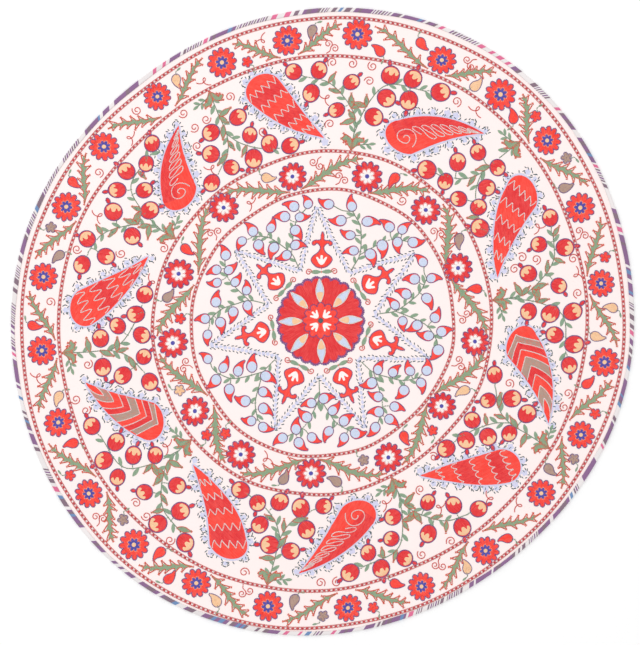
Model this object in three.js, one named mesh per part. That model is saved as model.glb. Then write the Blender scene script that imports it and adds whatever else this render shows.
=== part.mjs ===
// A round hand-embroidered cloth that lies flat, face up, with a narrow binding folded over its edge.
// Millimetres, +Z up. The origin is on the surface that the cloth lies on, under its middle.

import * as THREE from "three";

// Driving dimensions
const MEAN_RADIUS = 500; // from the middle to the folded edge
const CLOTH_THICKNESS = 1.2; // the ground with its stitching
const BINDING_THICKNESS = 1; // the turned-in strip
const BINDING_WIDTH = 6.5; // of the strip on each face
const SEWN_GAP = 0.3; // between the strip and the cloth inside it
const FOLD_DEPTH = 1.6; // how far the strip's round fold reaches in from the edge
const RISE_WIDTH = 24; // over which the cloth climbs from the surface into the strip

// How far the hand-cut edge strays from a circle: each row is a wave that runs round it.
const EDGE_WAVES = [
  { waves: 2, swing: 11.5, crestDegrees: 48 },
  { waves: 4, swing: 3, crestDegrees: -19 },
  { waves: 6, swing: 1, crestDegrees: -18 },
];

// Fineness
const STEPS_ROUND = 120;
const STEPS_IN_FOLD = 6;
const STEPS_IN_RISE = 4;

// Heights that follow from the dimensions
const CLOTH_LIFT = BINDING_THICKNESS + SEWN_GAP; // of the cloth's underside inside the strip
const BOUND_HEIGHT = 2 * CLOTH_LIFT + CLOTH_THICKNESS;

const CREAM = new THREE.MeshStandardMaterial({ color: 0xfbf1ec, roughness: 0.85, metalness: 0 });
const PLUM = new THREE.MeshStandardMaterial({ color: 0x7d5c8c, roughness: 0.8, metalness: 0 });

// The distance from the middle to the folded edge in one direction.
function edgeRadius(angle) {
  const strays = EDGE_WAVES.map(({ waves, swing, crestDegrees }) =>
    swing * Math.cos(waves * (angle - THREE.MathUtils.degToRad(crestDegrees))));
  return strays.reduce((sum, stray) => sum + stray, MEAN_RADIUS);
}

// One loop of points round the cloth, a given distance in from its edge.
function loopAt(inset, height) {
  return Array.from({ length: STEPS_ROUND }, (_, step) => {
    const angle = (step / STEPS_ROUND) * 2 * Math.PI;
    const radius = edgeRadius(angle) - inset;
    return new THREE.Vector3(radius * Math.cos(angle), radius * Math.sin(angle), height);
  });
}

// Triangles between two loops, facing right of the way from the first to the second, seen from outside.
function wallBetween(first, second) {
  return first.flatMap((corner, step) => {
    const next = (step + 1) % first.length;
    return [corner, first[next], second[step], first[next], second[next], second[step]];
  });
}

function geometryOf(corners) {
  const geometry = new THREE.BufferGeometry().setFromPoints(corners);
  geometry.computeVertexNormals();
  return geometry;
}

// A ring whose section is a closed chain of rows { inset, height }, listed upwards on its outer side.
function ringOf(section) {
  const loops = section.map(({ inset, height }) => loopAt(inset, height));
  const walls = loops.map((loop, row) => wallBetween(loop, loops[(row + 1) % loops.length]));
  return geometryOf(walls.flat());
}

// A sheet whose rows { inset, lift } run from its rim inwards. Inside the last row it is flat.
function sheetOf(rows, thickness) {
  const under = rows.map(({ inset, lift }) => loopAt(inset, lift));
  const over = rows.map(({ inset, lift }) => loopAt(inset, lift + thickness));
  const chain = [...under.toReversed(), ...over];
  const walls = chain.slice(1).map((loop, row) => wallBetween(chain[row], loop));
  const fan = (loop, middle, turn) => loop.flatMap((corner, step) => {
    const next = loop[(step + 1) % loop.length];
    return turn > 0 ? [middle, corner, next] : [middle, next, corner];
  });
  const innerLift = rows.at(-1).lift;
  const top = fan(over.at(-1), new THREE.Vector3(0, 0, innerLift + thickness), 1);
  const bottom = fan(under.at(-1), new THREE.Vector3(0, 0, innerLift), -1);
  return geometryOf([...walls.flat(), ...top, ...bottom]);
}

// The embroidered ground: held level inside the strip, then eased down to lie on the surface.
function clothGeometry() {
  const rise = Array.from({ length: STEPS_IN_RISE + 1 }, (_, step) => {
    const share = step / STEPS_IN_RISE;
    return {
      inset: BINDING_WIDTH + share * RISE_WIDTH,
      lift: CLOTH_LIFT * (1 - THREE.MathUtils.smoothstep(share, 0, 1)),
    };
  });
  return sheetOf([{ inset: CLOTH_LIFT, lift: CLOTH_LIFT }, ...rise], CLOTH_THICKNESS);
}

// The strip folded over the edge: a U of two flat legs and a round fold.
function bindingGeometry() {
  const fold = Array.from({ length: STEPS_IN_FOLD + 1 }, (_, step) => {
    const turn = Math.PI * (step / STEPS_IN_FOLD - 0.5);
    return {
      inset: FOLD_DEPTH * (1 - Math.cos(turn)),
      height: (BOUND_HEIGHT / 2) * (1 + Math.sin(turn)),
    };
  });
  const topLegUnderside = BOUND_HEIGHT - BINDING_THICKNESS;
  return ringOf([
    { inset: BINDING_WIDTH, height: 0 },
    ...fold,
    { inset: BINDING_WIDTH, height: BOUND_HEIGHT },
    { inset: BINDING_WIDTH, height: topLegUnderside },
    { inset: BINDING_THICKNESS, height: topLegUnderside },
    { inset: BINDING_THICKNESS, height: BINDING_THICKNESS },
    { inset: BINDING_WIDTH, height: BINDING_THICKNESS },
  ]);
}

function piece(name, geometry, material) {
  const mesh = new THREE.Mesh(geometry, material);
  mesh.name = name;
  return mesh;
}

const suzani = new THREE.Group();
suzani.add(piece("ground_cloth", clothGeometry(), CREAM));
suzani.add(piece("edge_binding", bindingGeometry(), PLUM));

export default suzani;
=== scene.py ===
import cmath
import math
import random

import bpy
import numpy as np
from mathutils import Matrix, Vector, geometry


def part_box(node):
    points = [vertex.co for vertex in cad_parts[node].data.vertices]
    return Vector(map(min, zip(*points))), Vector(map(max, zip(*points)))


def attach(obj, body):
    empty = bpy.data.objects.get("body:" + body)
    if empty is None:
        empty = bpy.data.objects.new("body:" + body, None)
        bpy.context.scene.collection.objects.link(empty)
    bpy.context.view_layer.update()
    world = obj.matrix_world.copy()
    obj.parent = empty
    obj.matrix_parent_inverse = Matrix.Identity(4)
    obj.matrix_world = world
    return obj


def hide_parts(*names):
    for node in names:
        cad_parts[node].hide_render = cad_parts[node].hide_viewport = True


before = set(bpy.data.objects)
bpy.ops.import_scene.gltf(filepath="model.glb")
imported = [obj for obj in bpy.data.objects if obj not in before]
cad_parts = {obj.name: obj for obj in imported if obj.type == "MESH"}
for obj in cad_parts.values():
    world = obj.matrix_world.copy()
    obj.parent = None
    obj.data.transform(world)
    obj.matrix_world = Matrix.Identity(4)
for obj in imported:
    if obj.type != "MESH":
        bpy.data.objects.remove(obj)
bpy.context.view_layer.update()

bl_info = {
    "name": "Round Suzani Cloth",
    "version": (1, 0, 0),
    "blender": (4, 5, 0),
    "location": "View3D > Sidebar > Suzani",
    "description": "Lays a round bound cloth on its frame and works its embroidery in stitched threads",
    "category": "Object",
}

# The flat design is drawn in millimetres on an even disc, as complex numbers, with the middle at 0.
# It is then laid on the uneven cloth, in metres.

MM = 0.001
FULL_TURN = 2 * math.pi

# The cloth as the frame has it
SHEET_THICKNESS = 1.2 * MM
RISE_WIDTH = 24 * MM  # over which the cloth climbs into its binding
BINDING_WIDTH = 6.5 * MM
BINDING_THICKNESS = 1 * MM
FOLD_DEPTH = 1.6 * MM
RIM_INSET = 1.3 * MM  # of the cloth's hidden edge inside the binding
RIM_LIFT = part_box("ground_cloth")[1].z - SHEET_THICKNESS
BOUND_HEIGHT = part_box("edge_binding")[1].z

# Soft ripples of the lying cloth: each row is a wave that crosses it.
RIPPLES = [
    {"length": 210, "degrees": 18, "swing": 0.12, "shift": 0.3},
    {"length": 140, "degrees": 77, "swing": 0.08, "shift": 1.9},
    {"length": 95, "degrees": 141, "swing": 0.06, "shift": 4.0},
    {"length": 70, "degrees": -32, "swing": 0.04, "shift": 2.6},
]
RIPPLE_FADE = 60 * MM  # from the rim inwards

# Heights of the embroidery over the cloth
PAD_SINK = 0.12  # below the face of the cloth
LEVEL_STEP = 0.3  # between one layer of thread and the next

# Threads: what each one works, its colour and the colour of its streaks
THREADS = {
    "scarlet": ("Petals and drops", (251, 62, 50), (252, 98, 86)),
    "crimson": ("Fruit, inner petals and the dark bands of drops", (224, 42, 50), (242, 86, 84)),
    "coral": ("Spirals and curls", (238, 88, 78), (232, 76, 72)),
    "russet": ("Outlines of barbed leaves", (244, 104, 78), (230, 94, 74)),
    "rose": ("Sides of the chain borders", (240, 134, 134), (244, 156, 154)),
    "maroon": ("Dark links of the chain borders", (206, 62, 70), (214, 84, 88)),
    "violet": ("Outlines of petals, fruit and buds", (112, 88, 154), (130, 96, 158)),
    "indigo": ("Hearts of the outer rosettes", (82, 76, 168), (100, 96, 180)),
    "sky": ("Bud cups and petal ends", (206, 218, 239), (214, 221, 242)),
    "lilac": ("Clouds round the drops and the star", (220, 215, 240), (213, 219, 240)),
    "tan": ("Fruit caps and pale buds", (246, 197, 152), (249, 210, 172)),
    "taupe": ("Grey-brown buds and chevrons", (176, 146, 134), (190, 160, 144)),
    "leaf": ("Leaves of the borders", (140, 170, 140), (154, 164, 130)),
    "sage": ("Vines and leaflets", (150, 172, 144), (132, 162, 138)),
    "ink": ("Seed stitches", (84, 104, 112), (66, 92, 100)),
    "white": ("Fine lines, pale flowers and pale links", (255, 250, 248), (252, 240, 236)),
}

# Cloth colours
CREAM = (253, 240, 238)
IKAT = {
    "pale": (232, 226, 226),
    "plum": (140, 104, 144),
    "slate": (134, 112, 126),
    "pink": (222, 112, 150),
    "teal": (112, 142, 184),
}

# The design isn't laid quite true: it is turned a little, moved a little in its middle and in its borders,
# and strays in and out by waves whose crests wind from the middle to the rim.
DESIGN_DEGREES = -0.4
MIDDLE_RADIUS, MIDDLE_MOVE = 100, -3 + 1.5j
BORDER_RADIUS, BORDER_MOVE = 210, -2.5j
HAND_WAVES = [
    {"waves": 2, "swing": 1.3, "crest": -60, "wind": 4000},
    {"waves": 7, "swing": 0.8, "crest": 20, "wind": 330},
    {"waves": 12, "swing": 0.7, "crest": 5, "wind": 140},
]

# Widths of drawn lines
LINE = 2.3
FINE_LINE = 1.9
BOLD_LINE = 5.2

# The borders between their chains
CHAIN_RADII = (485, 425, 273, 212)

# Outer border, clockwise: direction and distance of each rosette and the fillers of the gap after it,
# first the one on the outer side of the leaf, then the one on its inner side.
OUTER_BORDER = [
    (111.5, 454, "curl", "red flower"),
    (97.5, 456, "taupe bud", "twin spiral"),
    (83.5, 460, "red bud", "red bud"),
    (66, 452, "twin spiral", "tan bud"),
    (52.5, 452, "red flower", "red bud"),
    (39.5, 456, "taupe flower", "taupe bud"),
    (24.5, 450, "red flower", "twin spiral"),
    (8.5, 452, "tan bud", "tan bud"),
    (352.5, 458, "red flower", "red bud"),
    (337, 458, "taupe flower", "taupe bud"),
    (322.5, 454, "red bud", "curl"),
    (306, 460, "tan bud", "twin spiral"),
    (291, 458, "red flower", "red bud"),
    (275.5, 458, "taupe flower", "taupe bud"),
    (259.5, 454, "tan bud", "twin spiral"),
    (244.5, 452, "red bud", "red bud"),
    (230, 456, "twin spiral", "taupe flower"),
    (216.5, 456, "red flower", "red bud"),
    (201, 450, "curl", "tan bud"),
    (186, 454, "red bud", "spiral"),
    (171, 456, "taupe flower", "taupe bud"),
    (156, 456, "red bud", "spiral"),
    (141.5, 460, "spiral", "curl"),
    (126.5, 462, "tan bud", "curl"),
]

# Inner border, clockwise: each rosette, which way the leaf after it runs and that gap's two fillers
INNER_BORDER = [
    (131, 248, "falls", "tan bud", "curl"),
    (102, 240, "rises", "twin spiral", "twin spiral"),
    (73.5, 240, "rises", "red bud", "spiral"),
    (48, 240, "falls", "taupe bud", "twin spiral"),
    (22.5, 234, "rises", "red bud", "twin spiral"),
    (353.5, 248, "falls", "tan bud", "twin spiral"),
    (325.5, 238, "rises", "red flower", "red bud"),
    (296.5, 244, "falls", "taupe bud", "taupe flower"),
    (266, 240, "rises", "taupe bud", "curl"),
    (238.5, 242, "falls", "red flower", "red flower"),
    (215, 246, "rises", "tan flower", "twin spiral"),
    (188, 242, "falls", "taupe bud", "red flower"),
    (161.5, 246, "rises", "red bud", "twin spiral"),
]

# Drops: direction and distance of the round head and of the tip, how far the middle line bows
# as a share of its length, and the pattern inside
DROPS = [
    ((104.5, 386), (90, 294), -0.05, "zigzags"),
    ((66.5, 318), (50, 390), 0.15, "scroll"),
    ((33, 375), (15, 291), -0.15, "zigzags"),
    ((354, 324), (336.5, 401), 0.15, "chevrons"),
    ((322, 377), (303, 297), 0.05, "scales"),
    ((280.5, 315), (265, 398), 0.1, "scroll"),
    ((247, 374), (228, 301), -0.15, "zigzags"),
    ((209.5, 318), (194.5, 392), 0.1, "chevrons"),
    ((176.5, 382), (159.5, 303), -0.1, "waves"),
    ((138, 318), (126.5, 401), 0.15, "scroll"),
]

# Fruit sprays that grow outwards and inwards: where they root, then offsets in degrees and distances
OUTWARD_ROOTS = (81, 8, 294.5, 222, 150.5)
OUTWARD_FOOT = 277
OUTWARD_FRUIT = [
    (16.5, 402), (9.5, 406), (12, 367), (6, 338), (2, 383), (-4, 335),
    (-5.5, 402), (-7, 366), (-11.5, 408), (-12, 382), (-17.5, 405),
]
OUTWARD_VINES = [
    [(0, 276), (0, 302), (0.6, 330), (4, 360), (8, 384), (13, 394)],
    [(0, 302), (-2.2, 350), (-6, 388), (-14.5, 396)],
]
INWARD_ROOTS = (43, 331.5, 258.5, 187, 116.5)
INWARD_FOOT = 421
INWARD_FRUIT = [
    (4.5, 361), (7.5, 330), (-3.2, 354), (-6.5, 324), (12, 292),
    (3.8, 294), (-4, 288), (-10, 303), (-14.5, 291),
]
INWARD_VINES = [
    [(0, 418), (0.4, 384), (0.8, 345), (3, 318), (8, 300)],
    [(0.8, 345), (-1.5, 322), (-6, 303), (-12, 292)],
]
FORK_PLACES = [(0.3, 1), (0.42, -1), (0.62, 1), (0.78, -1), (1.0, 0)]  # share of a vine's length, and side

# Star: directions of its fruit, of the point over each fruit and of the valley after it
STAR = [
    (89.5, 93, 59),
    (36.5, 37, 7),
    (341.5, 341.5, 315),
    (292, 292.5, 269),
    (245, 246.5, 221),
    (191.5, 192, 163.5),
    (139, 140.5, 113),
]
STAR_POINT_RADIUS = 184
STAR_VALLEY_RADIUS = 87
STAR_FRUIT_RADIUS = 99
STAR_BUDS = [
    (24, 185), (14, 191), (17, 162), (5, 176), (11, 143), (6, 121),
    (-8, 131), (-4, 184), (-11, 194), (-10, 151), (-15, 170), (-22, 192),
]
STAR_VINES = [
    [(0, 96), (1, 120), (6, 145), (10, 165), (16, 182)],
    [(1, 120), (-5, 150), (-9, 170), (-15, 185)],
]

# Listed shapes: one unit is a motif's half length or radius, ahead is to the right.
BUD = [-1.08, -0.82 + 0.56j, -0.2 + 0.82j, 0.4 + 0.78j, 0.9 + 0.78j, 1.45 + 1.0j, 1.36 + 0.5j, 1.0 - 0.06j,
       0.42 - 0.6j, -0.2 - 0.82j, -0.82 - 0.56j]
POMEGRANATE_HALF = [-0.92, -0.75 + 0.6j, -0.2 + 1.05j, 0.25 + 0.85j, 0.6 + 0.42j, 0.95 + 0.2j, 1.25 + 0.2j,
                    1.5 + 0.42j, 1.52 + 0.62j, 1.34 + 0.76j, 1.42 + 0.98j, 1.7 + 0.96j, 1.85 + 0.66j,
                    1.86 + 0.3j, 2.0 + 0.15j, 2.35 + 0.15j, 2.7]
POINTED_HALF = [0, 0.25 + 0.14j, 0.55 + 0.17j, 0.8 + 0.07j, 1.05]
CAP_FINGERS = [0.52 + 0.76j, 0.2 + 0.72j, 0.12 + 0.52j, 0.42 + 0.34j, 0.02 + 0.16j,
               0.02 - 0.14j, 0.42 - 0.32j, 0.12 - 0.5j, 0.22 - 0.72j, 0.52 - 0.76j]
TULIP_HALF = [-0.75, -0.5 + 0.42j, 0.0 + 0.7j, 0.5 + 0.92j, 0.58 + 0.66j, 0.2 + 0.34j,
              0.3 + 0.2j, 0.8 + 0.2j, 0.9]
LEAFLET_HALF = [0, 0.22 + 0.13j, 0.55 + 0.19j, 0.85 + 0.12j, 1]

# Sizes of motifs: where there are two, each one is drawn between them
OUTER_ROSETTE_SIZES = (22.6, 24.8)
INNER_ROSETTE_SIZES = (23, 24.6)
FRUIT_SIZES = (12.4, 14.8)
STAR_BUD_SIZES = (8.8, 10.8)
POMEGRANATE_SIZE = 16
SMALL_BUD_SIZE = 9.2
SMALL_FLOWER_SIZE = 9.4
SPIRAL_SIZE = 8
TWIN_SPIRAL_SIZE = 6.6
FORK_LENGTH = 24
FRUIT_LEAFLET = 16
STAR_LEAFLET = 14

# Room round the middles of motifs: what each keeps from its like, and what other motifs keep from it
FRUIT_ROOM, FRUIT_BLOCK = 17.5, 15.0
STAR_BUD_ROOM, STAR_BUD_BLOCK = 11.2, 9.5
STAR_SIDE_BLOCK = 5.0
STAR_BUD_SPREAD = 27  # degrees from a valley to a point that the buds' offsets are charted for
STAR_BUD_INNER = 90
FREE_RING = (284, 416)  # distances in which spirals and curls are tried
FREE_TRIES = 3000

# Layers lower or higher than a whole level, and the lift of seed stitches
CLOUD_LEVEL = -0.8
BAND_LEVEL = 0.6
SEED_LIFT = 0.2

chance = random.Random(23)


# Sizes and colours that a user may change


def linear(colour):
    """A colour given as it shows on screen, from 0 to 255, as the light that a surface sends back."""
    shares = [value / 255 for value in colour]
    return tuple(share / 12.92 if share <= 0.04045 else ((share + 0.055) / 1.055) ** 2.4 for share in shares)


def length_property(name, description, millimetres):
    return bpy.props.FloatProperty(
        name=name, description=description, default=millimetres * MM, min=0.0001, precision=5, unit="LENGTH")


def colour_property(name, description, colour):
    return bpy.props.FloatVectorProperty(
        name=name, description=description, default=linear(colour), min=0, max=1, size=3, subtype="COLOR")


class SuzaniStitches(bpy.types.PropertyGroup):
    """Sizes of the stitches."""

    link_length: length_property("Link length", "Step of one chain stitch along a drawn line", 3.3)
    link_height: length_property("Link height", "Height of a chain stitch", 0.9)
    laid_width: length_property("Laid width", "Width of one stitch in a filled shape", 2.1)
    laid_height: length_property("Laid height", "Height of one stitch in a filled shape", 0.7)
    weave_pitch: length_property("Weave pitch", "Step of the threads in the ground cloth", 1.1)


class SuzaniThreads(bpy.types.PropertyGroup):
    """Colours of the threads."""

    __annotations__ = {
        name: colour_property(name.title(), work, colour) for name, (work, colour, _) in THREADS.items()
    }


class SuzaniCloth(bpy.types.PropertyGroup):
    """Colours of the ground and its binding."""

    ground: colour_property("Ground", "Colour of the woven ground", CREAM)
    pale: colour_property("Binding ground", "Colour between the binding's blocks", IKAT["pale"])
    plum: colour_property("Plum", "Long blocks of the binding", IKAT["plum"])
    slate: colour_property("Slate", "Fine stripes of the binding", IKAT["slate"])
    pink: colour_property("Pink", "Short blocks of the binding", IKAT["pink"])
    teal: colour_property("Teal", "Few blocks of the binding", IKAT["teal"])


# The uneven cloth


def frame_edge():
    """Directions in degrees, and distances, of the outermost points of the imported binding."""
    corners = np.array([corner.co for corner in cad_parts["edge_binding"].data.vertices])
    degrees = np.round(np.degrees(np.arctan2(corners[:, 1], corners[:, 0])), 1) % 360
    reach = np.hypot(corners[:, 0], corners[:, 1])
    directions = np.unique(degrees)
    return directions, np.array([reach[degrees == direction].max() for direction in directions])


EDGE_DIRECTIONS, EDGE_REACHES = frame_edge()
MEAN_REACH = EDGE_REACHES.mean()


def edge_reach(angle):
    """How far the folded edge is from the middle in one direction."""
    return np.interp(np.degrees(angle) % 360, EDGE_DIRECTIONS, EDGE_REACHES, period=360)


def ease(share):
    """A smooth step from 0 to 1."""
    share = np.clip(share, 0, 1)
    return share * share * (3 - 2 * share)


def underside(x, y):
    """Height of the cloth's underside: its ripples, and its rise into the binding."""
    inset = edge_reach(np.arctan2(y, x)) - np.hypot(x, y)
    ripple = np.zeros_like(inset)
    for wave in RIPPLES:
        turn = math.radians(wave["degrees"])
        run = (x * math.cos(turn) + y * math.sin(turn)) / (wave["length"] * MM)
        ripple += wave["swing"] * MM * (1 + np.sin(FULL_TURN * run + wave["shift"]))
    rise = RIM_LIFT * (1 - ease((inset - BINDING_WIDTH) / RISE_WIDTH))
    return rise + ripple * ease((inset - BINDING_WIDTH - RISE_WIDTH) / RIPPLE_FADE)


def by_hand(points):
    """Where flat design points come to lie when they are drawn by hand."""
    radius, angle = np.abs(points), np.angle(points)
    stray = np.zeros_like(radius)
    for wave in HAND_WAVES:
        wound = FULL_TURN * radius / wave["wind"]
        stray += wave["swing"] * np.cos(wave["waves"] * (angle - math.radians(wave["crest"])) + wound)
    stray *= ease(radius / BORDER_RADIUS)
    share = np.clip((radius - MIDDLE_RADIUS) / (BORDER_RADIUS - MIDDLE_RADIUS), 0, 1)
    move = MIDDLE_MOVE * (1 - share) + BORDER_MOVE * share
    return (radius + stray) * np.exp(1j * (angle + math.radians(DESIGN_DEGREES))) + move


def lay(points, lift):
    """Places on the cloth for flat design points, each a lift in millimetres over its face."""
    points = by_hand(np.asarray(points, complex))
    placed = points * MM * edge_reach(np.angle(points)) / MEAN_REACH
    height = underside(placed.real, placed.imag) + SHEET_THICKNESS + np.asarray(lift) * MM
    return np.column_stack([placed.real, placed.imag, np.broadcast_to(height, placed.shape)])


# Drawing on the flat design


def polar(degrees, radius):
    return radius * cmath.exp(1j * math.radians(degrees))


def circle(radius, steps=16):
    return radius * np.exp(1j * np.linspace(0, FULL_TURN, steps, endpoint=False))


def scallop(radius, petals, depth, steps=6):
    """A ring of round petals with sharp notches between them."""
    angle = np.linspace(0, FULL_TURN, petals * steps, endpoint=False)
    swell = np.abs(np.cos(petals * angle / 2)) ** 0.7
    return radius * (1 - depth + depth * swell) * np.exp(1j * angle)


def smooth(points, steps=5, closed=False):
    """A curve through given points."""
    points = np.asarray(points, complex)
    if closed:
        run = np.concatenate([points[-1:], points, points[:2]])
    else:
        run = np.concatenate([[2 * points[0] - points[1]], points, [2 * points[-1] - points[-2]]])
    before, start, end, after = run[:-3, None], run[1:-2, None], run[2:-1, None], run[3:, None]
    share = np.linspace(0, 1, steps, endpoint=False)
    line = start + 0.5 * share * (
        end - before + share * (
            2 * before - 5 * start + 4 * end - after + share * (3 * (start - end) + after - before)))
    return line.ravel() if closed else np.append(line.ravel(), points[-1])


def mirrored(half):
    """A whole outline from its left half, which starts and ends on the middle line."""
    half = np.asarray(half, complex)
    return np.concatenate([half, half[-2:0:-1].conj()])


def at_share(line, share):
    """The point at a share of a line's length."""
    run = np.concatenate([[0], np.cumsum(np.abs(np.diff(line)))])
    place = np.asarray(share) * run[-1]
    return np.interp(place, run, line.real) + 1j * np.interp(place, run, line.imag)


def way_at(line, share):
    """The direction of a line at a share of its length."""
    step = at_share(line, min(share + 0.02, 1)) - at_share(line, max(share - 0.02, 0))
    return step / abs(step)


def outward(outline):
    """Directions that point out of a closed outline drawn anticlockwise."""
    step = np.roll(outline, -1) - np.roll(outline, 1)
    return -1j * step / np.abs(step)


def anticlockwise(outline):
    turn = np.sum(outline.real * np.roll(outline.imag, -1) - outline.imag * np.roll(outline.real, -1))
    return outline if turn > 0 else outline[::-1]


def crossings(outline, height):
    """Where a level line meets an outline, from left to right."""
    after = np.roll(outline, -1)
    met = (outline.imag > height) != (after.imag > height)
    start, end = outline[met], after[met]
    return np.sort(start.real + (height - start.imag) / (end.imag - start.imag) * (end.real - start.real))


def level_rows(outline, grain, gap):
    """Rows that fill an outline side by side, in the direction of its grain."""
    turn = cmath.exp(1j * grain)
    turned = outline / turn
    low, high = turned.imag.min(), turned.imag.max()
    count = max(1, round((high - low) / gap))
    rows = []
    for height in low + (np.arange(count) + 0.5) * (high - low) / count:
        met = crossings(turned, height)
        for start, end in zip(met[::2], met[1::2]):
            rows.append(((start + 1j * height) * turn, (end + 1j * height) * turn))
    return rows


def radiating_rows(outline, middle, inner, gap):
    """Rows that fill an outline from its middle out, every other one starting further out."""
    spread = outline - middle
    count = round(FULL_TURN * np.abs(spread).max() / gap)
    rows = []
    for ray in range(count):
        turn = cmath.exp(1j * FULL_TURN * ray / count)
        reach = crossings(spread / turn, 1e-9).max()
        start = inner if ray % 2 else inner + 0.45 * (reach - inner)
        rows.append((middle + start * turn, middle + reach * turn))
    return rows


class Draft:
    """The whole embroidery on the flat design: filled shapes, laid stitches and drawn lines by thread."""

    GAP = 1.75  # between rows of laid stitches
    LONGEST = 12  # laid stitch
    SHORTEST = 1.2

    def __init__(self):
        self.pads = {}
        self.laid = {}
        self.drawn = {}

    def fill(self, thread, outline, grain=0.0, middle=None, inner=0.0, level=0):
        """A filled shape, laid in level rows, or in rows from a middle."""
        outline = anticlockwise(np.asarray(outline, complex))
        lift = self.pad(thread, outline, level)
        if middle is None:
            rows = level_rows(outline, grain, self.GAP)
        else:
            rows = radiating_rows(outline, middle, inner, self.GAP)
        for start, end in rows:
            self.lay_row(thread, start, end, lift)

    def pad(self, thread, outline, level):
        """The slab under a filled shape, and the lift of its top."""
        lift = LEVEL_STEP * (level + 1)
        self.pads.setdefault(thread, []).append((outline, lift))
        return lift

    def lay_row(self, thread, start, end, lift):
        """One row, cut into stitches at uneven places."""
        count = math.ceil(abs(end - start) / self.LONGEST)
        cuts = [0, *[(cut + chance.uniform(-0.3, 0.3)) / count for cut in range(1, count)], 1]
        for first, last in zip(cuts, cuts[1:]):
            if (last - first) * abs(end - start) > self.SHORTEST:
                self.seed(thread, start + first * (end - start), start + last * (end - start), lift)

    def seed(self, thread, start, end, lift=0.1):
        """One straight stitch."""
        self.laid.setdefault(thread, []).append((start, end, lift))

    def line(self, thread, points, width=LINE, closed=False, level=0):
        """A line in chain stitch."""
        lift = LEVEL_STEP * (level + 1)
        self.drawn.setdefault(thread, []).append((np.asarray(points, complex), width, closed, lift))


# Motifs: each one sits at a point, and facing holds its direction and its size


def rosette(draft, at, facing, petals, petal_thread, heart_thread, heart_edge, dot_thread, heart, dot):
    """A flower of many petals round a small eight-petalled one."""
    outline = at + scallop(0.98, petals, 0.29) * facing
    draft.fill(petal_thread, outline, middle=at, inner=heart * 0.7 * abs(facing))
    draft.line("violet", outline, closed=True)
    draft.line(heart_edge, at + scallop(heart * 1.08, 8, 0.34) * facing, FINE_LINE, closed=True)
    draft.fill(heart_thread, at + scallop(heart, 8, 0.46) * facing, middle=at, level=1)
    draft.fill(dot_thread, at + circle(dot) * abs(facing), level=2)


def cap(draft, thread, at, facing):
    """The fingered end of a fruit."""
    arc = 0.88 * np.exp(1j * np.radians(np.linspace(-56, 56, 5)))
    outline = smooth(np.concatenate([arc, CAP_FINGERS]), 3, closed=True)
    draft.fill(thread, at + outline * facing, cmath.phase(facing), level=1)


def tulip(draft, at, facing, level=1):
    """A pale flower of three fingers."""
    outline = at + smooth(mirrored(TULIP_HALF), 2, closed=True) * facing
    draft.fill("white", outline, cmath.phase(facing), level=level)


def oval(length, width, steps=14):
    ring = circle(1, steps)
    return ring.real * length + 1j * ring.imag * width


def fruit(draft, at, way):
    """A round fruit with a fingered cap and a small crown."""
    facing = way * chance.uniform(*FRUIT_SIZES)
    outline = at + oval(1.04, 0.95, 22) * facing
    draft.fill("crimson", outline, cmath.phase(facing) + 0.4)
    cap(draft, "tan", at, facing * cmath.exp(1j * chance.uniform(-0.5, 0.5)))
    draft.line("violet", outline, closed=True)
    lean = cmath.exp(1j * chance.uniform(-0.4, 0.4))
    crown = at + facing * (1.38 + oval(0.33, 0.2)) * lean
    draft.fill("crimson", crown, cmath.phase(facing))
    draft.line("violet", crown, FINE_LINE, closed=True)
    return abs(facing)


def leaflet(draft, foot, facing):
    """A plain small leaf."""
    draft.fill("sage", foot + smooth(mirrored(LEAFLET_HALF), 2, closed=True) * facing, cmath.phase(facing))


def fork(draft, foot, facing, blocks):
    """Two pointed leaves with red edges that part from one foot, where there is room for them."""
    for turn, size in ((0.65, 1.0), (-0.6, 0.8)):
        leaf = facing * size * cmath.exp(1j * turn)
        if not all(is_clear(foot + share * leaf, blocks, 2) for share in (0.4, 0.7, 1)):
            continue
        outline = foot + smooth(mirrored(POINTED_HALF), 3, closed=True) * leaf
        draft.fill("leaf", outline, cmath.phase(leaf))
        draft.line("russet", outline, FINE_LINE, closed=True)


def leaf_outline(spine, edges):
    """A closed outline from the ends of a spine and the points on its two sides."""
    return np.array([spine[0], *edges[-1j], spine[-1], *edges[1j][::-1]])


def barbed_leaf(draft, spine, half_width, barb_reach, barbs):
    """A leaf along a spine, with hooked barbs on both sides that lean towards its tip.

    The fill stops short of the barbs' ends, which the outline alone draws.
    """
    length = np.abs(np.diff(spine)).sum()
    drawn = {1j: [], -1j: []}
    filled = {1j: [], -1j: []}
    for side in drawn:
        count = barbs if side == 1j else barbs - 1
        for barb in range(count):
            share = (barb + 0.9) / (count + 1.2)
            swell = math.sin(math.pi * min(share * 1.15, 0.93)) ** 0.6
            body = half_width * swell
            reach = barb_reach * (0.5 + 0.5 * swell) * chance.uniform(0.8, 1.2)
            lean = chance.uniform(0.7, 1.05) * barb_reach / length
            for ahead, across in ((0, body), (0.45 * lean, 0.55 * reach), (lean, reach),
                                  (0.85 * lean, 0.5 * reach), (0.8 * lean, body)):
                place = min(share + ahead, 0.97)
                at = at_share(spine, place)
                out = side * way_at(spine, place)
                drawn[side].append(at + out * across)
                filled[side].append(at + out * (body + 0.5 * (across - body)))
    draft.fill("leaf", leaf_outline(spine, filled), cmath.phase(spine[-1] - spine[0]))
    draft.line("russet", leaf_outline(spine, drawn), closed=True)


def spiral(draft, start, facing, spin=1):
    """A line that winds in from its start, which faces the middle."""
    share = np.linspace(0, 1, 26)
    wind = (1 - 0.74 * share) * np.exp(1j * spin * (math.pi + FULL_TURN * 1.3 * share))
    draft.line("coral", start + facing * (1 + wind), FINE_LINE)


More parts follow.
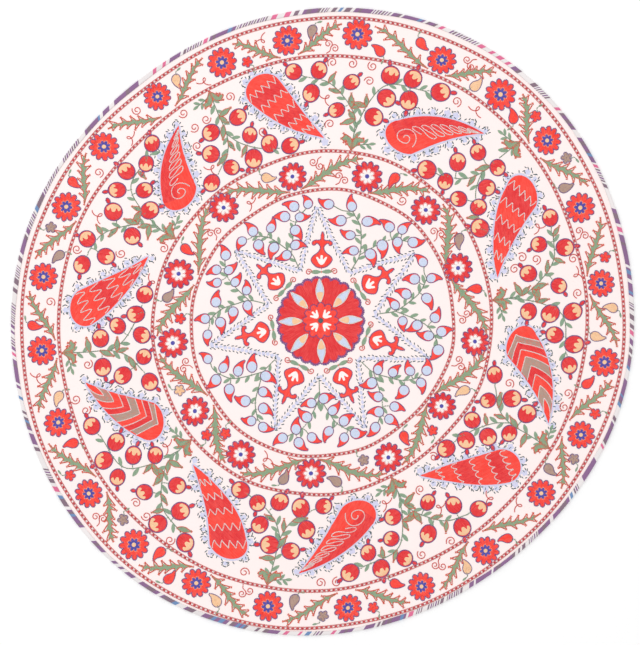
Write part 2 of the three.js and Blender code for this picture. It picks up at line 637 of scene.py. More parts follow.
def curl(draft, at, facing):
    """A line with one loop in it."""
    turn = np.linspace(-1.15, 1.15, 30) * math.pi
    draft.line("coral", at + facing * (0.36 * turn - 0.75 * np.sin(turn) - 0.75j * np.cos(turn)), FINE_LINE)


def stalk(draft, foot, facing):
    """The short stem of a small motif, with a leaflet at its end."""
    stem = smooth([foot, foot - (0.4 + 0.12j) * facing, foot - (0.75 - 0.12j) * facing])
    draft.line("sage", stem, FINE_LINE)
    leaflet(draft, stem[-2], facing * cmath.exp(2.3j) * 0.9)


def small_flower(draft, thread, at, facing):
    """A five-lobed flower on a short stem."""
    outline = at + scallop(0.95, 5, 0.42) * facing
    draft.fill(thread, outline, middle=at)
    draft.line("violet", outline, FINE_LINE, closed=True)
    stalk(draft, at - 0.9 * facing, facing)


def small_bud(draft, thread, at, facing):
    """A curved bud on a short stem."""
    outline = at + smooth(BUD, 3, closed=True) * facing
    draft.fill(thread, outline, cmath.phase(facing) + 0.3)
    draft.line("violet", outline, FINE_LINE, closed=True)
    stalk(draft, at - facing, facing)


def star_bud(draft, at, way):
    """A pale cup with a curved red tip."""
    facing = way * chance.uniform(*STAR_BUD_SIZES) * cmath.exp(chance.uniform(-0.3, 0.3) * 1j)
    shape = smooth(BUD, 3, closed=True)
    if chance.random() < 0.5:
        shape = shape.conj()
    draft.fill("scarlet", at + shape * facing, cmath.phase(facing))
    draft.fill("sky", at + (oval(0.76, 0.72) - 0.26) * facing, cmath.phase(facing), level=1)
    draft.line("violet", at + shape * facing, FINE_LINE, closed=True)
    return abs(facing)


FILLER_THREADS = {"red": "scarlet", "tan": "tan", "taupe": "taupe"}
FILLER_FORMS = {"bud": (small_bud, SMALL_BUD_SIZE), "flower": (small_flower, SMALL_FLOWER_SIZE)}


def filler(draft, words, at, facing):
    """A small motif in a corner."""
    if words == "curl":
        curl(draft, at, facing * 7j)
    elif words == "spiral":
        spiral(draft, at - SPIRAL_SIZE * facing, facing * SPIRAL_SIZE)
    elif words == "twin spiral":
        for spin in (1, -1):
            spiral(draft, at - 2 * facing, facing * TWIN_SPIRAL_SIZE * cmath.exp(1.3j * spin), spin)
        draft.line("coral", smooth([at - 13 * facing, at - (8 + 2j) * facing, at - 2 * facing]), FINE_LINE)
    else:
        colour, form = words.split()
        motif, size = FILLER_FORMS[form]
        motif(draft, FILLER_THREADS[colour], at, facing * size)


# Borders


def border_leaf(draft, foot, tip, half_width, barb_reach, barbs):
    """A barbed leaf that leaves one chain, crosses the border and ends along the other."""
    share = np.linspace(0, 1, 15)
    angle = np.radians(foot[0] + (tip[0] - foot[0]) * share)
    radius = foot[1] + (tip[1] - foot[1]) * (0.4 * share + 0.6 * ease(share))
    barbed_leaf(draft, radius * np.exp(1j * angle), half_width, barb_reach, barbs)


# Gaps between rosettes: distances that a leaf runs between, degrees kept from the rosettes, and leaf sizes
OUTER_GAP = {"inner": 431, "outer": 475, "foot": 2.0, "tip": 3.2, "filler": 5.0, "inset": 9,
             "half_width": 2.8, "barb": 11.5, "barbs": 6}
INNER_GAP = {"inner": 217, "outer": 266, "foot": 2.5, "tip": 3.0, "filler": 9.4, "inset": 13,
             "half_width": 3.4, "barb": 13, "barbs": 7}


def border_gap(draft, ends, rises, words, clear):
    """What fills the gap between two rosettes: a leaf, and a filler on each side of it."""
    left, right = ends
    inner, outer = clear["inner"], clear["outer"]
    foot, tip = (left, right) if rises else (right, left)
    toward = 1 if tip > foot else -1
    border_leaf(draft, (foot + toward * clear["foot"], inner), (tip - toward * clear["tip"], outer),
                clear["half_width"], clear["barb"], clear["barbs"])
    places = [
        (foot + toward * clear["filler"], outer - clear["inset"], math.pi + 0.6 * toward),
        (tip - toward * clear["filler"], inner + clear["inset"], 0.6 * toward),
    ]
    for word, (degrees, radius, lean) in zip(words, places):
        at = polar(degrees, radius)
        filler(draft, word, at, at / abs(at) * cmath.exp(1j * lean))


def draw_borders(draft):
    """Both rosette borders."""
    for number, (degrees, distance, *words) in enumerate(OUTER_BORDER):
        facing = polar(degrees + 15, chance.uniform(*OUTER_ROSETTE_SIZES))
        rosette(draft, polar(degrees, distance), facing, 12, "scarlet", "indigo", "tan", "tan", 0.42, 0.14)
        after = OUTER_BORDER[(number + 1) % len(OUTER_BORDER)][0]
        after -= 360 if after > degrees else 0
        border_gap(draft, (degrees, after), number % 2 == 1, words, OUTER_GAP)
    for number, (degrees, distance, run, *words) in enumerate(INNER_BORDER):
        facing = polar(degrees, chance.uniform(*INNER_ROSETTE_SIZES))
        rosette(draft, polar(degrees, distance), facing, 12, "crimson", "white", "white", "indigo", 0.46, 0.14)
        after = INNER_BORDER[(number + 1) % len(INNER_BORDER)][0]
        after -= 360 if after > degrees else 0
        border_gap(draft, (degrees, after), run == "rises", words, INNER_GAP)


def draw_chains(draft):
    """Four chain borders: two rails with dark and pale links between them."""
    rail, pitch = 2.0, 3.8
    for radius in CHAIN_RADII:
        for side in (-rail, rail):
            draft.line("rose", circle(radius + side, round(FULL_TURN * radius / 6)), FINE_LINE, closed=True)
        count = 2 * round(FULL_TURN * radius / pitch / 2)
        for number in range(count):
            middle = polar(360 * number / count, radius)
            thread, length, sides = (("maroon", 5.0, (-0.5, 0.5)), ("white", 3.0, (0,)))[number % 2]
            along = 1j * middle / radius * length / 2
            for side in sides:
                shift = side * middle / radius
                draft.seed(thread, middle + shift - along, middle + shift + along, 0.3)


# Drops


class Drop:
    """The place of a curved drop, and the points inside it."""

    BULGE = 28.5  # half width of the head

    def __init__(self, head, tip, bow, pattern):
        self.head = polar(*head)
        self.reach = polar(*tip) - self.head
        self.bow = bow
        self.pattern = pattern

    def half_width(self, along):
        span = abs(self.reach)
        share = np.clip(along, 0, 1)
        round_head = np.sqrt(np.maximum(self.BULGE**2 - (along * span) ** 2, 0))
        return np.where(along < 0, round_head, self.BULGE * (1 - share**1.45))

    def inside(self, along, across):
        """The point at a share of the drop's length and a share of its half width."""
        share = np.clip(along, 0, 1)
        spine = self.head + self.reach * (np.minimum(along, 0) + share + 2j * self.bow * share * (1 - share))
        way = self.reach * (1 + 2j * self.bow * (1 - 2 * share))
        return spine + 1j * way / np.abs(way) * self.half_width(along) * across

    def outline(self):
        back = -self.BULGE / abs(self.reach)
        round_head = back * np.cos(np.linspace(0, math.pi / 2, 9))
        along = np.concatenate([round_head, np.linspace(0.06, 0.97, 17), [1]])
        return anticlockwise(np.concatenate([self.inside(along, 1), self.inside(along[-2:0:-1], -1)]))

    def blocks(self):
        """Circles that cover the drop and its cloud: their middles and radii."""
        along = np.linspace(0, 1.12, 9)
        return self.inside(along, 0), self.half_width(along) + 9


# Patterns across a drop: where their lines start, and the threads of the bands between them
DROP_PATTERNS = {
    "zigzags": ((-0.03, 0.17, 0.37, 0.57, 0.76), ("crimson", None)),
    "waves": ((-0.02, 0.2, 0.42, 0.62, 0.8), (None, "crimson")),
    "scales": ((-0.1, 0.08, 0.28, 0.5, 0.7), ("crimson", None)),
    "chevrons": ((-0.14, -0.05, 0.05, 0.15, 0.28, 0.4, 0.55, 0.71), ("taupe", "crimson", None)),
}


def pattern_line(pattern, start):
    """One line across a drop: places along it and across it."""
    across = np.linspace(-0.94, 0.94, 37)
    zig = np.arange(37) / 4 * (1 - 0.6 * max(start, 0))  # fewer where the drop is narrow
    form = {
        "zigzags": 0.095 * (np.abs(zig % 2 - 1) - 0.5) + 0.04 * across,
        "waves": 0.075 * np.sin(math.pi * zig * 0.8) + 0.03 * across,
        "scales": 0.075 * np.sqrt(np.abs(np.sin(math.pi * zig / 2))) - 0.05 * across,
        "chevrons": 0.2 * np.abs(across + 0.2) - 0.02,
    }
    return start + form[pattern], across


def draw_drop(draft, drop):
    """A drop with a pattern inside, a pale cloud round it and seed stitches over the cloud's edge."""
    grain = cmath.phase(drop.reach) + 0.35
    outline = drop.outline()
    draft.fill("scarlet", outline, grain)
    if drop.pattern == "scroll":
        draw_scroll(draft, drop, grain)
    else:
        starts, threads = DROP_PATTERNS[drop.pattern]
        lines = [drop.inside(*pattern_line(drop.pattern, start)) for start in starts]
        for number, (first, last) in enumerate(zip(lines, lines[1:])):
            thread = threads[number % len(threads)]
            if thread:
                draft.fill(thread, np.concatenate([first, last[::-1]]), grain, level=BAND_LEVEL)
        for line in lines:
            draft.line("white", line, FINE_LINE, level=1)
    draw_cloud(draft, outline)


def draw_scroll(draft, drop, grain):
    """A spiral in a drop's head, and one feathery line from it up to the tip."""
    half = np.linspace(-0.1, 0.95, 14)
    near_middle = drop.inside(half, 0.1 - 0.2 * np.sin(3 * half))
    near_edge = drop.inside(half[::-1], 0.97)
    draft.fill("crimson", np.concatenate([near_middle, near_edge]), grain, level=BAND_LEVEL)
    share = np.linspace(0, 1, 30)
    turn = FULL_TURN * 1.55 * share - 1.2
    size = 1.15 - share
    coil = drop.inside(0.13 * size * np.cos(turn), 0.56 * size * np.sin(turn) - 0.05)
    draft.line("white", coil, FINE_LINE, level=1)
    share = np.linspace(0, 1, 90)
    swing = FULL_TURN * 6.5 * share
    across = (0.55 - 0.12 * share) * np.sin(swing) - 0.1
    along = 0.2 + 0.72 * share - 0.09 * np.sin(swing) - 0.025 * np.sin(2 * swing)
    draft.line("white", drop.inside(np.minimum(along, 0.96), across), FINE_LINE, level=1)


def draw_cloud(draft, outline):
    """The pale cloud round a drop: a thin rim and tufts, with seed stitches round them."""
    out = outward(outline)
    draft.pad("lilac", outline + out * 3, CLOUD_LEVEL)
    loop = np.append(outline, outline[0])
    for share in np.linspace(0, 1, 190, endpoint=False):
        side = -1j * way_at(loop, share)
        draft.seed("lilac", at_share(loop, share), at_share(loop, share) + side * chance.uniform(2.6, 4.6))
    tip = np.abs(outline - outline.mean()).argmax() / len(outline)
    count = 17
    for number in range(count):
        share = (tip + (number + chance.uniform(-0.25, 0.25)) / count) % 1
        side = -1j * way_at(loop, share)
        at = at_share(loop, share) + side * chance.uniform(5, 8.5)
        size = chance.uniform(3.8, 6.6)
        tuft = scallop(size, 5, 0.3, 4) * polar(chance.uniform(0, 90), 1)
        draft.fill("lilac", at + tuft, 0.7, level=CLOUD_LEVEL)
        for seed in range(6):
            turn = cmath.exp(1j * (seed - 2.5 + chance.uniform(-0.3, 0.3)) * 0.75)
            stroke = side * turn * polar(chance.uniform(30, 100), chance.uniform(2.2, 3.0))
            place = at + side * turn * (size + chance.uniform(0.5, 3))
            draft.seed("ink", place - stroke, place + stroke, SEED_LIFT)
    for share in np.linspace(0, 1, 44, endpoint=False):
        side = -1j * way_at(loop, share)
        at = at_share(loop, share) + side * chance.uniform(3, 7)
        stroke = side * polar(chance.uniform(-60, 60), chance.uniform(2.2, 2.9))
        draft.seed("ink", at - stroke, at + stroke, SEED_LIFT)


# Sprays


def settle(places, reach, blocks, ring):
    """Moves crowded motifs apart, off the blocked circles and into their ring."""
    middles, radii = blocks
    places = np.array(places)
    for _ in range(60):
        gap = places[:, None] - places[None, :]
        apart = np.abs(gap) + 1e6 * np.eye(len(places))
        shift = (np.maximum(2 * reach - apart, 0) * gap / apart).sum(1)
        off = places[:, None] - middles[None, :]
        far = np.abs(off)
        shift += (np.maximum(radii + reach - far, 0) * off / far).sum(1)
        places = places + 0.3 * shift
        places *= np.clip(np.abs(places), ring[0] + reach, ring[1] - reach) / np.abs(places)
    return places


def is_clear(at, blocks, reach):
    middles, radii = blocks
    return np.all(np.abs(middles - at) > radii + reach)


def clear_runs(line, blocks):
    """The stretches of a line that stay off the blocked circles."""
    off = np.array([is_clear(at, blocks, 0) for at in line])
    cuts = np.flatnonzero(np.diff(off)) + 1
    return [run for run, kept in zip(np.split(line, cuts), np.split(off, cuts)) if kept[0] and len(run) > 1]


def spray(draft, stems, places, bearer, leaf_size, blocks):
    """Vines with leaflets, and a fruit or bud at each place."""
    on_vine = np.concatenate(stems)
    for stem in stems:
        for run in clear_runs(at_share(stem, np.linspace(0, 1, 60)), blocks):
            draft.line("sage", run, FINE_LINE)
    for at in places:
        foot = on_vine[np.abs(on_vine - at).argmin()]
        way = (at - foot) / abs(at - foot)
        end = at - way * bearer(draft, at, way)
        draft.line("sage", smooth([foot, (foot + end) / 2 + 0.1j * (end - foot), end]), FINE_LINE)
    for stem in stems:
        count = round(np.abs(np.diff(stem)).sum() / (leaf_size * 0.6))
        for number in range(1, count + 1):
            share = number / count
            side = 1 if number % 2 else -1
            facing = way_at(stem, share) * cmath.exp(0.7j * side) * leaf_size * chance.uniform(0.85, 1.1)
            foot = at_share(stem, share)
            if is_clear(foot + 0.65 * facing, blocks, 2):
                leaflet(draft, foot, facing)


def root_clump(draft, foot, way):
    """The two broad barbed leaves that a spray grows from, with a leafy sprig beside them."""
    for side in (1j, -1j):
        bends = (0, 10 + 3 * side, 17 + 9 * side, 15 + 19 * side)
        spine = smooth([foot + bend * way for bend in bends])
        barbed_leaf(draft, spine, 4.4, 7.5, 3)
    sprig = smooth([foot + 3 * way, foot + (9 - 11j) * way, foot + (12 - 25j) * way])
    draft.line("sage", sprig, FINE_LINE)
    for share, side in ((0.3, 1), (0.5, -1), (0.7, 1), (0.88, -1), (1.0, 0)):
        leaflet(draft, at_share(sprig, share), way_at(sprig, share) * cmath.exp(0.8j * side) * 12)


def draw_fruit_ring(draft):
    """The drops, and between them sprays that grow outwards and inwards."""
    drops = [Drop(*row) for row in DROPS]
    for drop in drops:
        draw_drop(draft, drop)
    covered = [np.concatenate(parts) for parts in zip(*[drop.blocks() for drop in drops])]
    sorts = [(root, OUTWARD_VINES, OUTWARD_FRUIT, OUTWARD_FOOT, 0) for root in OUTWARD_ROOTS]
    sorts += [(root, INWARD_VINES, INWARD_FRUIT, INWARD_FOOT, 180) for root in INWARD_ROOTS]
    charted = []
    for root, _, fruits, *_ in sorts:
        charted += [polar(root + offset + chance.uniform(-0.8, 0.8), radius + chance.uniform(-4, 4))
                    for offset, radius in fruits]
    places = settle(charted, FRUIT_ROOM, covered, (CHAIN_RADII[2], CHAIN_RADII[1]))
    reaches = np.full(len(places), FRUIT_BLOCK)
    taken = [np.concatenate([covered[0], places]), np.concatenate([covered[1], reaches])]
    start = 0
    for root, vines, fruits, foot, turn in sorts:
        stems = [smooth([polar(root + offset, radius) for offset, radius in vine]) for vine in vines]
        spray(draft, stems, places[start:start + len(fruits)], fruit, FRUIT_LEAFLET, taken)
        root_clump(draft, polar(root, foot), polar(root + turn, 1))
        for stem in stems:
            for share, side in FORK_PLACES:
                facing = way_at(stem, share) * cmath.exp(1.1j * side) * FORK_LENGTH
                fork(draft, at_share(stem, share), facing, taken)
        start += len(fruits)
    fill_free_places(draft, covered, taken)


def fill_free_places(draft, covered, taken):
    """Spirals and curls where the fruit ring still has room."""
    drawn = [points for thread in ("sage", "russet") for points, *_ in draft.drawn[thread]]
    drawn = np.concatenate(drawn + [outline for outline, _ in draft.pads["sage"]])
    middles, radii = taken
    for _ in range(FREE_TRIES):
        at = polar(chance.uniform(0, 360), chance.uniform(*FREE_RING))
        if is_clear(at, covered, 12) and is_clear(at, (middles, radii), 6.5) and np.abs(drawn - at).min() > 9:
            way = polar(chance.uniform(0, 360), 1)
            if chance.random() < 0.7:
                spiral(draft, at - SPIRAL_SIZE * way, SPIRAL_SIZE * way, chance.choice((1, -1)))
            else:
                curl(draft, at, 7.5 * way)
            middles, radii = np.append(middles, at), np.append(radii, 13)


def pomegranate(draft, at, facing):
    """A fruit with a three-pointed crown, a pale flower on it and two leaflets under it."""
    outline = at + smooth(mirrored(POMEGRANATE_HALF), 3, closed=True) * facing
    draft.fill("scarlet", outline, cmath.phase(facing))
    draft.line("violet", outline, FINE_LINE, closed=True)
    tulip(draft, at - 0.18 * facing, facing * 0.6)
    foot = at - 1.32 * facing
    draft.line("russet", [foot, at - 0.95 * facing], FINE_LINE)
    for side in (1j, -1j):
        leaflet(draft, foot, facing * side * 1.1)


def star_edge(draft, start, end):
    """One side of the star: a pale band with slanting stitches on both sides."""
    way = (end - start) / abs(end - start)
    blobs = round(abs(end - start) / 7.2)
    for number in range(blobs):
        at = start + (number + 0.5) / blobs * (end - start) + 1j * way * chance.uniform(-0.6, 0.6)
        blob = oval(3.3, chance.uniform(2.2, 3.2), 10) * way
        draft.fill("lilac", at + blob, cmath.phase(way) + 0.5, level=CLOUD_LEVEL)
    count = round(abs(end - start) / 6.4)
    for number in range(count):
        for side in (1, -1):
            step = number + 0.5 + 0.25 * side + chance.uniform(-0.15, 0.15)
            at = start + way * step * abs(end - start) / count
            at += 1j * way * side * chance.uniform(2.4, 5.2)
            stroke = way * cmath.exp(1j * (0.5 * side + chance.uniform(-0.3, 0.3))) * chance.uniform(2.2, 3.0)
            draft.seed("ink", at - stroke, at + stroke, SEED_LIFT)


def draw_star(draft):
    """The star with its pomegranates, and the bud sprays outside it."""
    sides = []
    for number, (fruit_degrees, point, valley) in enumerate(STAR):
        for hollow in (STAR[number - 1][2], valley):
            ends = polar(point, STAR_POINT_RADIUS), polar(hollow, STAR_VALLEY_RADIUS)
            star_edge(draft, *ends)
            sides.append(np.linspace(*ends, 14))
        pomegranate(draft, polar(fruit_degrees, STAR_FRUIT_RADIUS), polar(fruit_degrees, POMEGRANATE_SIZE))
        for side in (1, -1):
            spiral(draft, polar(fruit_degrees + 11 * side, 79), polar(fruit_degrees + 90 * side, 5.4), side)
    middles = np.concatenate(sides)
    blocks = middles, np.full(len(middles), STAR_SIDE_BLOCK)
    places = []
    for number, (_, point, valley) in enumerate(STAR):
        after = STAR[(number + 1) % len(STAR)][1]
        before_valley = (point - valley) % 360 / STAR_BUD_SPREAD
        after_valley = (valley - after) % 360 / STAR_BUD_SPREAD
        for offset, radius in STAR_BUDS:
            spread = before_valley if offset > 0 else after_valley
            places.append(polar(valley + offset * spread, radius))
    places = settle(places, STAR_BUD_ROOM, blocks, (STAR_BUD_INNER, CHAIN_RADII[3] - 5))
    reaches = np.full(len(places), STAR_BUD_BLOCK)
    taken = np.concatenate([middles, places]), np.concatenate([blocks[1], reaches])
    for number, (_, _, valley) in enumerate(STAR):
        stems = [smooth([polar(valley + offset, radius) for offset, radius in vine]) for vine in STAR_VINES]
        own = places[number * len(STAR_BUDS):(number + 1) * len(STAR_BUDS)]
        spray(draft, stems, own, star_bud, STAR_LEAFLET, taken)


def draw_middle(draft):
    """The large rosette in the middle."""
    outline = scallop(70, 26, 0.07)
    draft.fill("crimson", outline, middle=0, inner=24)
    draft.line("violet", outline, BOLD_LINE, closed=True)
    for number in range(8):
        facing = polar(45 * number + 92, 1)
        petal = smooth(mirrored([30, 40 + 5j, 50 + 6j, 60 + 3j, 67]), 3, closed=True)
        draft.fill("sky", petal * facing, cmath.phase(facing), level=1)
        base = smooth(mirrored([30.5, 37 + 4.2j, 44 + 5j, 46]), 3, closed=True)
        draft.fill("tan", base * facing, cmath.phase(facing), level=2)
        draft.line("white", petal * facing, LINE, closed=True, level=2)
    flower = scallop(29, 12, 0.2)
    draft.fill("scarlet", flower, middle=0, inner=3, level=1)
    draft.line("violet", flower, FINE_LINE, closed=True, level=1)
    for number in range(4):
        facing = polar(45 + 90 * number, 1)
        tulip(draft, facing * 12.5, facing * 8.5, level=2)
    draft.fill("ink", circle(4), level=2)


def draw_all():
    """The whole design on one draft."""
    draft = Draft()
    draw_chains(draft)
    draw_borders(draft)
    draw_fruit_ring(draft)
    draw_star(draft)
    draw_middle(draft)
    return draft


# Building node trees


def add(tree, kind, values=(), **settings):
    """A new node with its settings, and its inputs set or linked by name or number."""
    node = tree.nodes.new(kind)
    for name, value in settings.items():
        setattr(node, name, value)
    for key, value in dict(values).items():
        if isinstance(value, bpy.types.NodeSocket):
            tree.links.new(value, node.inputs[key])
        else:
            node.inputs[key].default_value = value
    return node


def new_group(name, kind, inputs, outputs):
    """An empty group with named sockets, and its input and output nodes."""
    tree = bpy.data.node_groups.new(name, kind)
    for side, sockets in (("INPUT", inputs), ("OUTPUT", outputs)):
        for socket, sort in sockets.items():
            tree.interface.new_socket(socket, in_out=side, socket_type=sort)
    return tree, tree.nodes.new("NodeGroupInput").outputs, tree.nodes.new("NodeGroupOutput").inputs


def shared_group(name, build):
    return bpy.data.node_groups.get(name) or build(name)


def strand(tree, rings):
    """A three-sided thread of unit size that lies along X with one edge up."""
    ball = add(tree, "GeometryNodeMeshUVSphere", {"Segments": 3, "Rings": rings, "Radius": 0.5})
    lain = add(tree, "GeometryNodeTransform",
               {"Geometry": ball.outputs["Mesh"], "Rotation": (0, -math.pi / 2, 0)})
    return add(tree, "GeometryNodeSetShadeSmooth", {"Geometry": lain.outputs[0]}).outputs[0]


def place_stitches(tree, points, stitch, along, scale, seed):
    """Stitches on points, turned along a vector, each with its own shade, as instances."""
    turn = add(tree, "FunctionNodeAlignRotationToVector", {"Vector": along}, axis="X", pivot_axis="Z")
    placed = add(tree, "GeometryNodeInstanceOnPoints",
                 {"Points": points, "Instance": stitch, "Rotation": turn.outputs[0], "Scale": scale})
    shade = add(tree, "FunctionNodeRandomValue", {"Seed": seed}, data_type="FLOAT")
    kept = add(tree, "GeometryNodeStoreNamedAttribute",
               {"Geometry": placed.outputs[0], "Name": "shade", "Value": shade.outputs[1]},
               data_type="FLOAT", domain="INSTANCE")
    return kept.outputs[0]


def build_chain_line(name):
    """Chain stitches along drawn lines: each link is two strands that part towards the next link."""
    tree, given, made = new_group(
        name, "GeometryNodeTree",
        {"Geometry": "NodeSocketGeometry", "Link Length": "NodeSocketFloat", "Link Height": "NodeSocketFloat",
         "Seed": "NodeSocketInt", "Material": "NodeSocketMaterial"},
        {"Geometry": "NodeSocketGeometry"})
    drawn = add(tree, "GeometryNodeMeshToCurve", {"Mesh": given["Geometry"]})
    spaced = add(tree, "GeometryNodeResampleCurve",
                 {"Curve": drawn.outputs[0], "Length": given["Link Length"]}, mode="LENGTH")
    half = strand(tree, 2)
    both = tree.nodes.new("GeometryNodeJoinGeometry")
    for side in (1, -1):
        leaning = add(tree, "GeometryNodeTransform", {
            "Geometry": half, "Translation": (0, 0.2 * side, 0), "Rotation": (0, 0, 0.22 * side),
            "Scale": (1.5, 0.62, 1)})
        tree.links.new(leaning.outputs[0], both.inputs[0])
    width = add(tree, "GeometryNodeInputNamedAttribute", {"Name": "width"}, data_type="FLOAT")
    scale = add(tree, "ShaderNodeCombineXYZ",
                {"X": given["Link Length"], "Y": width.outputs[0], "Z": given["Link Height"]})
    tangent = add(tree, "GeometryNodeInputTangent")
    placed = place_stitches(
        tree, spaced.outputs[0], both.outputs[0], tangent.outputs[0], scale.outputs[0], given["Seed"])
    whole = add(tree, "GeometryNodeRealizeInstances", {"Geometry": placed})
    dyed = add(tree, "GeometryNodeSetMaterial", {"Geometry": whole.outputs[0], "Material": given["Material"]})
    tree.links.new(dyed.outputs[0], made["Geometry"])
    return tree


def build_laid_work(name):
    """Straight stitches on the points that have a length along them, over the pads of their shapes."""
    tree, given, made = new_group(
        name, "GeometryNodeTree",
        {"Geometry": "NodeSocketGeometry", "Laid Width": "NodeSocketFloat", "Laid Height": "NodeSocketFloat",
         "Seed": "NodeSocketInt", "Material": "NodeSocketMaterial"},
        {"Geometry": "NodeSocketGeometry"})
    stored = add(tree, "GeometryNodeInputNamedAttribute", {"Name": "along"}, data_type="FLOAT_VECTOR")
    along = stored.outputs[0]
    span = add(tree, "ShaderNodeVectorMath", {0: along}, operation="LENGTH").outputs["Value"]
    is_stitch = add(tree, "FunctionNodeCompare", {"A": span, "B": 1e-6}, data_type="FLOAT").outputs[0]
    points = add(tree, "GeometryNodeMeshToPoints", {"Mesh": given["Geometry"], "Selection": is_stitch})
    scale = add(tree, "ShaderNodeCombineXYZ",
                {"X": span, "Y": given["Laid Width"], "Z": given["Laid Height"]})
    placed = place_stitches(tree, points.outputs[0], strand(tree, 3), along, scale.outputs[0], given["Seed"])
    pads = add(tree, "GeometryNodeDeleteGeometry", {"Geometry": given["Geometry"], "Selection": is_stitch})
    both = tree.nodes.new("GeometryNodeJoinGeometry")
    tree.links.new(placed, both.inputs[0])
    tree.links.new(pads.outputs[0], both.inputs[0])
    whole = add(tree, "GeometryNodeRealizeInstances", {"Geometry": both.outputs[0]})
    dyed = add(tree, "GeometryNodeSetMaterial", {"Geometry": whole.outputs[0], "Material": given["Material"]})
    tree.links.new(dyed.outputs[0], made["Geometry"])
    return tree


def work_nodes(piece, tree, inputs):
    """Runs a tree on a piece and keeps the result as its plain mesh."""
    modifier = piece.modifiers.new("Stitching", "NODES")
    modifier.node_group = tree
    sockets = {item.name: item.identifier for item in tree.interface.items_tree if item.in_out == "INPUT"}
    for name, value in inputs.items():
        modifier[sockets[name]] = value
    graph = bpy.context.evaluated_depsgraph_get()
    worked = bpy.data.meshes.new_from_object(
        piece.evaluated_get(graph), preserve_all_data_layers=True, depsgraph=graph)
    piece.modifiers.remove(modifier)
    drawn = piece.data
    piece.data = worked
    bpy.data.meshes.remove(drawn)
    worked.name = piece.name
    if not worked.polygons:
        raise RuntimeError(f"{piece.name} came out empty")


# Materials


def build_thread_tone(name):
    """Colour that changes from stitch to stitch, and the height of a thread's fibres."""
    tree, given, made = new_group(
        name, "ShaderNodeTree",
        {"Thread": "NodeSocketColor", "Streak": "NodeSocketColor", "Shade": "NodeSocketFloat"},
        {"Colour": "NodeSocketColor", "Fibres": "NodeSocketFloat"})
    place = add(tree, "ShaderNodeTexCoord").outputs["Object"]
    fade = add(tree, "ShaderNodeTexNoise", {"Vector": place, "Scale": 45, "Detail": 2})
    share = add(tree, "ShaderNodeMath", {0: given["Shade"], 1: fade.outputs["Fac"]}, operation="MULTIPLY")
    more = add(tree, "ShaderNodeMath", {0: share.outputs[0], 1: 1.9}, operation="MULTIPLY", use_clamp=True)
    tone = add(tree, "ShaderNodeMix",
               {"Factor": more.outputs[0], "A": given["Thread"], "B": given["Streak"]}, data_type="RGBA")
    fibres = add(tree, "ShaderNodeTexNoise", {"Vector": place, "Scale": 2600, "Detail": 1})
    tree.links.new(mix_result(tone), made["Colour"])
    tree.links.new(fibres.outputs["Fac"], made["Fibres"])
    return tree


def mix_result(node):
    """The colour that a colour mix puts out."""
    return next(socket for socket in node.outputs if socket.type == "RGBA" and socket.enabled)


def build_plain_weave(name):
    """The height of a plain weave, and a soft unevenness of its cloth."""
    tree, given, made = new_group(
        name, "ShaderNodeTree", {"Pitch": "NodeSocketFloat"},
        {"Height": "NodeSocketFloat", "Unevenness": "NodeSocketFloat"})
    place = add(tree, "ShaderNodeTexCoord").outputs["Object"]
    parts = add(tree, "ShaderNodeSeparateXYZ", {0: place})
    turns = add(tree, "ShaderNodeMath", {0: math.pi, 1: given["Pitch"]}, operation="DIVIDE")
    waves = []
    for axis in ("X", "Y"):
        run = add(tree, "ShaderNodeMath", {0: parts.outputs[axis], 1: turns.outputs[0]}, operation="MULTIPLY")
        waves.append(add(tree, "ShaderNodeMath", {0: run.outputs[0]}, operation="SINE").outputs[0])
    woven = add(tree, "ShaderNodeMath", {0: waves[0], 1: waves[1]}, operation="MULTIPLY")
    slubs = add(tree, "ShaderNodeTexNoise", {"Vector": place, "Scale": 14, "Detail": 4})
    tree.links.new(woven.outputs[0], made["Height"])
    tree.links.new(slubs.outputs["Fac"], made["Unevenness"])
    return tree


def new_material(name, roughness, sheen):
    """A cloth material: its tree and its shader."""
    material = bpy.data.materials.new(name)
    material.use_nodes = True
    tree = material.node_tree
    shader = tree.nodes["Principled BSDF"]
    shader.inputs["Roughness"].default_value = roughness
    shader.inputs["Specular IOR Level"].default_value = 0.2
    shader.inputs["Sheen Weight"].default_value = sheen
    return material, tree, shader


def bump(tree, shader, height, distance, strength):
    made = add(tree, "ShaderNodeBump", {"Height": height, "Distance": distance, "Strength": strength})
    tree.links.new(made.outputs[0], shader.inputs["Normal"])


def thread_material(name, colour):
    """Dyed silk thread: each stitch a little different, with fine fibres."""
    material, tree, shader = new_material(f"{name}_thread", roughness=0.62, sheen=0.12)
    tone = add(tree, "ShaderNodeGroup", node_tree=shared_group("Thread Tone", build_thread_tone))
    tone.inputs["Thread"].default_value = (*colour, 1)
    tone.inputs["Streak"].default_value = (*linear(THREADS[name][2]), 1)
    shade = add(tree, "ShaderNodeAttribute", attribute_name="shade")
    tree.links.new(shade.outputs["Fac"], tone.inputs["Shade"])
    tree.links.new(tone.outputs["Colour"], shader.inputs["Base Color"])
    bump(tree, shader, tone.outputs["Fibres"], distance=0.1 * MM, strength=0.4)
    return material


def ground_material(colour, pitch):
    """Cream plain weave, faintly uneven."""
    material, tree, shader = new_material("ground_weave", roughness=0.85, sheen=0.08)
    weave = add(tree, "ShaderNodeGroup", node_tree=shared_group("Plain Weave", build_plain_weave))
    weave.inputs["Pitch"].default_value = pitch
    darker = tuple(channel * share for channel, share in zip(colour, (0.975, 0.955, 0.95)))
    tone = add(tree, "ShaderNodeMix", {"Factor": weave.outputs["Unevenness"]}, data_type="RGBA")
    colours = [socket for socket in tone.inputs if socket.type == "RGBA" and socket.enabled]
    for socket, value in zip(colours, (colour, darker)):
        socket.default_value = (*value, 1)
    tree.links.new(mix_result(tone), shader.inputs["Base Color"])
    bump(tree, shader, weave.outputs["Height"], distance=0.12 * MM, strength=0.5)
    return material


